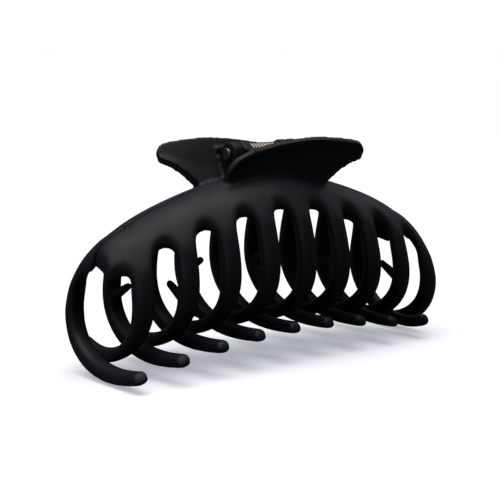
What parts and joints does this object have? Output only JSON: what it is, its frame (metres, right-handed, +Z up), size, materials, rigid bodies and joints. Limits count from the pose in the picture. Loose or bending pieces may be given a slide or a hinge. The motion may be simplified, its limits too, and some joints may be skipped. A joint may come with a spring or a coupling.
{
  "type": "claw hair clip",
  "caption": "Large arched claw hair clip in matte black: two toothed jaws on a sprung hinge pin, opened by squeezing flared leaf-shaped handles.",
  "frame": {"origin": "on the surface the closed clip stands on, under the middle of its ridge", "axes": "+X along the clip, -Y towards the front jaw, +Z up through the hinge to the handles"},
  "size_m": [0.1112, 0.0464, 0.0589],
  "materials": {
    "soft_touch_plastic": "moulded plastic with a matte soft-touch coating",
    "blackened_pin": "steel with a dark blackened surface",
    "spring_wire": "drawn spring steel wire, slightly straw coloured"
  },
  "bodies": {
    "rear_half": {"rear_jaw": "soft_touch_plastic", "hinge_pin": "blackened_pin", "torsion_spring": "spring_wire"},
    "front_half": {"front_jaw": "soft_touch_plastic"}
  },
  "joints": [
    {"name": "jaw_hinge", "type": "hinge", "parent": "rear_half", "child": "front_half", "pos_m": [0, 0, 0.055], "axis": [-1, 0, 0], "range_deg": [0, 50], "stiffness_Nm_per_rad": 0.09, "springref_deg": -57.3, "deforming": ["torsion_spring"]}
  ]
}
